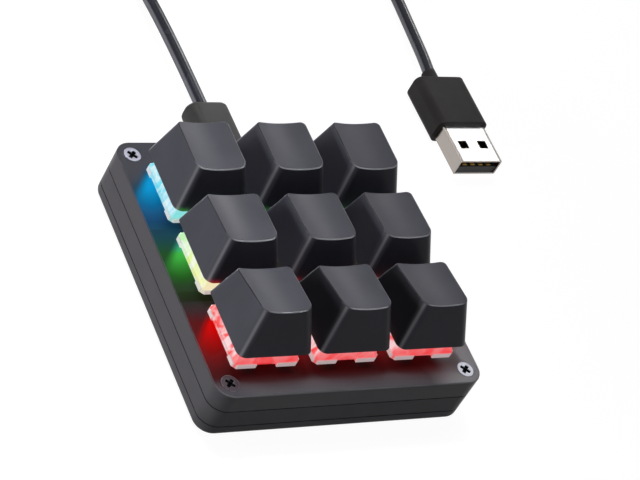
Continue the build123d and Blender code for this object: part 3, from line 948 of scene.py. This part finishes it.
class Stock(Enum):
    """The finishes that the keypad's pieces are given."""

    # Painted highlight on the plate's rims.
    PLATE = PlateFinish("satin dark plate", "3c3c45", 0.36, specular=0.06, grain=0.22 * MM,
                        depth=0.1, edge=0.1 * MM, edge_wear_and_light=0.1, wear_and_painted_light_colour="a8a9ad", rim=0.45)
    CASE = LayerFinish("satin dark case", "6c6a6f", 0.42, specular=0.045, grain=0.22 * MM,
                       depth=0.1, edge=0.1 * MM, edge_wear_and_light=0.05)
    # Painted highlights on rims and left corners, painted shade on left rims.
    CAP = CapFinish("grained key plastic", "50505a", 0.37, specular=0.12, grain=0.16 * MM,
                    depth=0.12, edge=0.12 * MM, edge_wear_and_light=0.12, wear_and_painted_light_colour="d6d6dc", corner_highlight=0.42,
                    rim=0.8, left_rim_shade=0.85)
    BASE = LitFinish("milky switch plastic", "e9e7e6", 0.4, specular=0.4, edge_wear_and_light=0.05,
                     wear_and_painted_light_colour="ffffff")
    TOP = LitFinish("clear switch plastic", "e6e8ea", 0.22, specular=0.5, clear=0.2, edge_wear_and_light=0.05,
                    wear_and_painted_light_colour="ffffff")
    LAMP = LitFinish("light lens", "f4f2e6", 0.3, level=1.2, edge_wear_and_light=0.05, wear_and_painted_light_colour="ffffff")
    STEM = Finish("red slider plastic", "a3161c", 0.32, specular=0.45, wear_and_painted_light_colour="d0565a", edge_wear_and_light=0.2)
    WIRE = Finish("spring wire", "b9b9b4", 0.26, metallic=1.0, edge_wear_and_light=0.1, wear_and_painted_light_colour="d8d8d4")
    BRASS = Finish("gilt contact", "c9a24e", 0.3, metallic=1.0, edge_wear_and_light=0.2, wear_and_painted_light_colour="ecd08a")
    SCREW = RecessFinish("nickel screw", "7c7c88", 0.45, metallic=1.0, edge=0.08 * MM, edge_wear_and_light=0.4,
                         wear_and_painted_light_colour="a4a4ac")
    BOARD = TraceFinish("lacquered board", "18201c", 0.36, edge_wear_and_light=0.15, wear_and_painted_light_colour="8a8a60")
    CHIP = Finish("chip epoxy", "17171a", 0.55, specular=0.3)
    PARTS = Finish("small board parts", "2b2723", 0.4, edge_wear_and_light=0.9, wear_and_painted_light_colour="b0aca4", edge=0.3 * MM)
    # Edges and rims are painted darker, standing in for their shade.
    STEEL = PressedFinish("pressed plug steel", "f2f2f3", 0.2, metallic=1.0, edge=0.15 * MM,
                          edge_wear_and_light=0.5, rim=0.9, wear_and_painted_light_colour="6a645f", grain=0.5 * MM, depth=0.05,
                          mottle=0.03)
    TONGUE = Finish("plug tongue plastic", "1a1716", 0.5, specular=0.3)
    GREY_MOULD = Finish("grey plug moulding", "424241", 0.45, specular=0.12, grain=0.2 * MM,
                        depth=0.15, edge_wear_and_light=0.1)
    BLACK_MOULD = Finish("black plug moulding", "3d3a3a", 0.5, specular=0.08, grain=0.4 * MM,
                         depth=0.5, relief=0.05 * MM, mottle=0.3, edge=0.15 * MM, edge_wear_and_light=0.15)
    CABLE = JacketFinish("cable jacket", "181a29", 0.26, specular=0.24, grain=0.6 * MM,
                         depth=0.06, edge_wear_and_light=0.0)
    RUBBER = Finish("foot rubber", "1b1b1c", 0.7, specular=0.3, grain=0.25 * MM, depth=0.3)
    BAND = WovenFinish("woven tie", "1d1d20", 0.75, specular=0.2, depth=0.6, relief=0.15 * MM)

    def material(self) -> bpy.types.Material:
        """The finish's material, made at its first use."""
        return bpy.data.materials.get(self.value.name) or self.value.material()


def stand(name: str, data: bpy.types.ID) -> bpy.types.Object:
    """Put a mesh, curve, light or camera into the scene.

    Args:
        name: The object's name.
        data: What it shows.

    Returns:
        The object.
    """
    made = bpy.data.objects.new(name, data)
    bpy.context.scene.collection.objects.link(made)
    return made


@dataclass
class SubAssembly:
    """Pieces of the keypad that are dressed together."""

    stock: dict[str, Stock] = field(default_factory=dict)

    def build(self) -> None:
        """Make the pieces that scene.py adds; a plain sub-assembly has none."""

    def dress(self) -> None:
        """Give each carried-over node its finish."""
        for name, stock in self.stock.items():
            self.paint(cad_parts[name], stock)

    def paint(self, piece: bpy.types.Object, stock: Stock) -> None:
        """Give one piece its finish.

        Args:
            piece: A mesh or a curve.
            stock: The finish.
        """
        piece.data.materials.clear()
        piece.data.materials.append(stock.material())
        LOG.info("%s: %s", piece.name, stock.value.name)


@dataclass
class Case(SubAssembly):
    """The three layers of the case, with screws, feet and the board inside."""

    stock: dict[str, Stock] = field(default_factory=lambda: {
        "top_cover": Stock.PLATE, "middle_frame": Stock.CASE, "bottom_cover": Stock.CASE,
        "case_screws": Stock.SCREW, "rubber_feet": Stock.RUBBER, "circuit_board": Stock.BOARD,
        "controller_chip": Stock.CHIP, "board_parts": Stock.PARTS, "usb_socket": Stock.STEEL,
        "socket_tongue": Stock.TONGUE})


@dataclass
class Keys(SubAssembly):
    """The nine keys: caps, stems, springs and the switches that carry them."""

    count: int = 9
    travel: float = 3.6 * MM
    wire: float = 0.3 * MM
    turns: int = 5
    steps: int = 28
    sides: int = 10
    stock: dict[str, Stock] = field(default_factory=lambda: {
        "switch_tops": Stock.TOP, "switch_contacts": Stock.BRASS, "key_lights": Stock.LAMP})

    def __post_init__(self) -> None:
        """Add the nodes that each key has of its own."""
        for number in range(1, self.count + 1):
            self.stock[f"keycap_{number}"] = Stock.CAP
            self.stock[f"stem_{number}"] = Stock.STEM
            self.stock[f"switch_base_{number}"] = Stock.BASE

    def build(self) -> None:
        """Wind a round-wire spring for each key, on the base in place of its spring node."""
        for number in range(1, self.count + 1):
            node = f"spring_{number}"
            low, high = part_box(node)
            spring = self.wind(f"return_spring_{number}", low, high)
            self.paint(spring, Stock.WIRE)
            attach(spring, "base")
            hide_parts(node)
            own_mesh(spring)

    def wind(self, name: str, low: Vector, high: Vector) -> bpy.types.Object:
        """Make one spring inside a box.

        Args:
            name: The piece's name.
            low: The box's lowest corner.
            high: Its highest corner.

        Returns:
            The spring.
        """
        centre, up = (low + high) / 2, Vector((0.0, 0.0, 1.0))
        radius = (high.x - low.x - self.wire) / 2
        rise = (high.z - low.z - self.wire) / self.turns
        mesh = bmesh.new()
        rings = []
        for i in range(self.turns * self.steps + 1):
            turn = i / self.steps
            angle = math.tau * turn
            out = Vector((math.cos(angle), math.sin(angle), 0.0))
            at = Vector((centre.x, centre.y, low.z + self.wire / 2 + rise * turn)) + out * radius
            ring = []
            for k in range(self.sides):
                a = math.tau * k / self.sides
                off = (out * math.cos(a) + up * math.sin(a)) * self.wire / 2
                ring.append(mesh.verts.new(at + off))
            rings.append(ring)
        for first, second in zip(rings, rings[1:]):
            for k in range(self.sides):
                n = (k + 1) % self.sides
                mesh.faces.new((first[k], second[k], second[n], first[n])).smooth = True
        mesh.faces.new(rings[0])
        mesh.faces.new(reversed(rings[-1]))
        bmesh.ops.recalc_face_normals(mesh, faces=mesh.faces)
        data = bpy.data.meshes.new(name)
        mesh.to_mesh(data)
        mesh.free()
        return stand(name, data)


@dataclass
class Lead(SubAssembly):
    """The keypad's lead: a moulded plug, the free cord with its coil, and a USB-A plug."""

    diameter: float = 3.0 * MM
    length: float = 1.19
    roundness: int = 6
    smoothness: int = 6
    way_out: tuple[Point, ...] = (
        (0.0, 0.05075, 0.00492), (0.0, 0.073, 0.00492), (0.0, 0.097, 0.00265),
        (0.0, 0.115, 0.00265))
    coil_y: float = 118.0 * MM
    coil_low: float = 2.65 * MM
    coil_radius: float = 21.5625 * MM
    coil_step: float = 3.6 * MM
    coil_turns: float = 9.25
    coil_layers: int = 4
    coil_hold: float = 0.125
    coil_climb: float = 0.5
    points_per_turn: int = 16
    way_back: tuple[Point, ...] = (
        (0.0425625, 0.1395625, 0.01345), (0.062, 0.132, 0.0065), (0.074, 0.114, 0.00155),
        (0.0731, 0.0935, 0.00155), (0.0712, 0.0793, 0.0025), (0.0697, 0.0685, 0.0033),
        (0.0687, 0.0632, 0.0034))
    on_cord: tuple[str, ...] = (
        "usb_a_mould", "usb_a_shell", "usb_a_tongue", "usb_a_contacts", "cable_tie")
    stock: dict[str, Stock] = field(default_factory=lambda: {
        "lead_plug": Stock.GREY_MOULD, "lead_plug_shell": Stock.STEEL, "cable_tie": Stock.BAND,
        "usb_a_mould": Stock.BLACK_MOULD, "usb_a_shell": Stock.STEEL, "usb_a_tongue": Stock.TONGUE,
        "usb_a_contacts": Stock.BRASS})

    def coil_point(self, turn: float) -> Point:
        """A point of the coil, which goes in and out by layers.

        Args:
            turn: Turns from its start.

        Returns:
            The point.
        """
        leg = self.coil_turns / self.coil_layers
        swing = turn % (2 * leg)
        swing = min(swing, 2 * leg - swing)
        radius = self.coil_radius - self.coil_step * min(swing, leg - self.coil_hold)
        climbed = 0.0
        for layer in range(1, self.coil_layers):
            share = min(max((turn - layer * leg) / self.coil_climb + 0.5, 0.0), 1.0)
            climbed += share * share * (3 - 2 * share)
        angle = math.pi - math.tau * turn
        return (self.coil_radius + radius * math.cos(angle),
                self.coil_y + radius * math.sin(angle),
                self.coil_low + self.coil_step * climbed)

    def build(self) -> None:
        steps = math.ceil(self.coil_turns * self.points_per_turn)
        coil = [self.coil_point(self.coil_turns * i / steps) for i in range(steps + 1)]
        points = [*self.way_out, *coil, *self.way_back]
        data = bpy.data.curves.new("lead_cable", "CURVE")
        data.dimensions = "3D"
        data.bevel_depth = self.diameter / 2
        data.bevel_resolution = self.roundness
        data.resolution_u = self.smoothness
        data.use_fill_caps = True
        spline = data.splines.new("NURBS")
        spline.points.add(len(points) - 1)
        for place, point in zip(spline.points, points):
            place.co = (*point, 1.0)
        spline.order_u = 3
        spline.use_endpoint_u = True
        cable = stand("lead_cable", data)
        self.paint(cable, Stock.CABLE)
        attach(cable, "base")
        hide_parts("cable_out", "cable_coil", "cable_back")


def turned(place: Point, aim: Point) -> Quaternion:
    """The turn that makes a lamp or camera at a place look at another one."""
    return (Vector(aim) - Vector(place)).to_track_quat("-Z", "Y")


def seen_rays(sheet: Sheet) -> Socket:
    """Tell the rays that show a surface from those that only carry light on.

    Args:
        sheet: The tree to add to.

    Returns:
        1 for camera, glossy and transmission rays, otherwise 0.
    """
    rays = sheet.add("ShaderNodeLightPath").outputs
    seen = sheet.math("MAXIMUM", rays["Is Camera Ray"], rays["Is Glossy Ray"])
    return sheet.math("MAXIMUM", seen, rays["Is Transmission Ray"])


@dataclass
class Lamp:
    """A soft box of the studio."""

    name: str
    place: Point
    aim: Point
    size: Span
    power: float
    spread: float = 180.0

    def build(self) -> None:
        """Hang the soft box."""
        data = bpy.data.lights.new(self.name, "AREA")
        data.shape = "RECTANGLE"
        data.size, data.size_y = self.size
        data.energy = self.power
        data.spread = math.radians(self.spread)
        lamp = stand(self.name, data)
        lamp.location = self.place
        lamp.rotation_mode = "QUATERNION"
        lamp.rotation_quaternion = turned(self.place, self.aim)


@dataclass
class Studio:
    """A pale floor, soft light and the camera."""

    floor_half: float = 1.6
    floor_tone: float = 0.16
    floor_rough: float = 0.9
    floor_lift: float = 0.955
    world_level: float = 0.045
    eye: Point = (-0.27502, -0.27429, 0.35488)
    target: Point = (0.01861, 0.01648, 0.0)
    roll: float = math.radians(31.96)
    lens: float = 138.64
    sensor: float = 36.0
    clip: Span = (0.01, 20.0)
    lamps: tuple[Lamp, ...] = (
        Lamp("top_softbox", (0.0, 0.36, 0.8), (0.0, 0.0, 0.02), (0.5, 0.5), 1.4),
        Lamp("key_grid", (-0.145, 0.38, 0.8), (-0.145, 0.02, 0.02), (0.2, 0.2), 0.205, 21.5),
        Lamp("sheen_grid", (0.404, 0.52, 0.46), (-0.105, 0.041, 0.059), (0.16, 0.5), 0.082, 21.5),
        Lamp("left_strip", (-0.76, 0.1, 0.13), (-0.03, 0.0, 0.01), (0.5, 0.14), 2.3),
    )

    def build(self) -> None:
        """Set the stage, the lamps and the camera."""
        self.lay_floor()
        self.light_world()
        for lamp in self.lamps:
            lamp.build()
        self.set_camera()
        settings = bpy.context.scene.view_settings
        settings.view_transform = "Standard"

    def lay_floor(self) -> None:
        """Lay the floor, which shows white and keeps the shadow."""
        half = self.floor_half
        data = bpy.data.meshes.new("studio_floor")
        corners = [(-half, -half, 0), (half, -half, 0), (half, half, 0), (-half, half, 0)]
        data.from_pydata(corners, [], [(0, 1, 2, 3)])
        floor = stand("studio_floor", data)
        made = bpy.data.materials.new("pale floor")
        made.use_nodes = True
        sheet = Sheet(made.node_tree)
        shader = made.node_tree.nodes["Principled BSDF"]
        shader.inputs["Base Color"].default_value = grey(self.floor_tone)
        shader.inputs["Roughness"].default_value = self.floor_rough
        shader.inputs["Specular IOR Level"].default_value = 0.0
        lift = sheet.mix(seen_rays(sheet), BLACK, grey(self.floor_lift))
        sheet.feed(shader.inputs["Emission Color"], lift)
        shader.inputs["Emission Strength"].default_value = 1.0
        data.materials.append(made)

    def light_world(self) -> None:
        """Fill the room with even light; gloss and glass see its walls white."""
        world = bpy.data.worlds.new("studio_room")
        world.use_nodes = True
        back = world.node_tree.nodes["Background"]
        back.inputs["Color"].default_value = WHITE
        sheet = Sheet(world.node_tree)
        level = sheet.math("MAXIMUM", seen_rays(sheet), self.world_level)
        sheet.feed(back.inputs["Strength"], level)
        bpy.context.scene.world = world

    def set_camera(self) -> None:
        """Stand the camera where the photograph was taken from."""
        data = bpy.data.cameras.new("camera")
        data.lens = self.lens
        data.sensor_width = self.sensor
        data.clip_start, data.clip_end = self.clip
        camera = stand("camera", data)
        camera.location = self.eye
        camera.rotation_mode = "QUATERNION"
        roll = Quaternion((0.0, 0.0, 1.0), self.roll)
        camera.rotation_quaternion = turned(self.eye, self.target) @ roll
        bpy.context.scene.camera = camera


def main() -> None:
    """Set the studio and dress the keypad."""
    logging.basicConfig(level=logging.INFO, format="%(name)s %(message)s")
    Studio().build()
    for part in (Case(), Keys(), Lead()):
        part.dress()
        part.build()


if __name__ == "__main__":
    main()
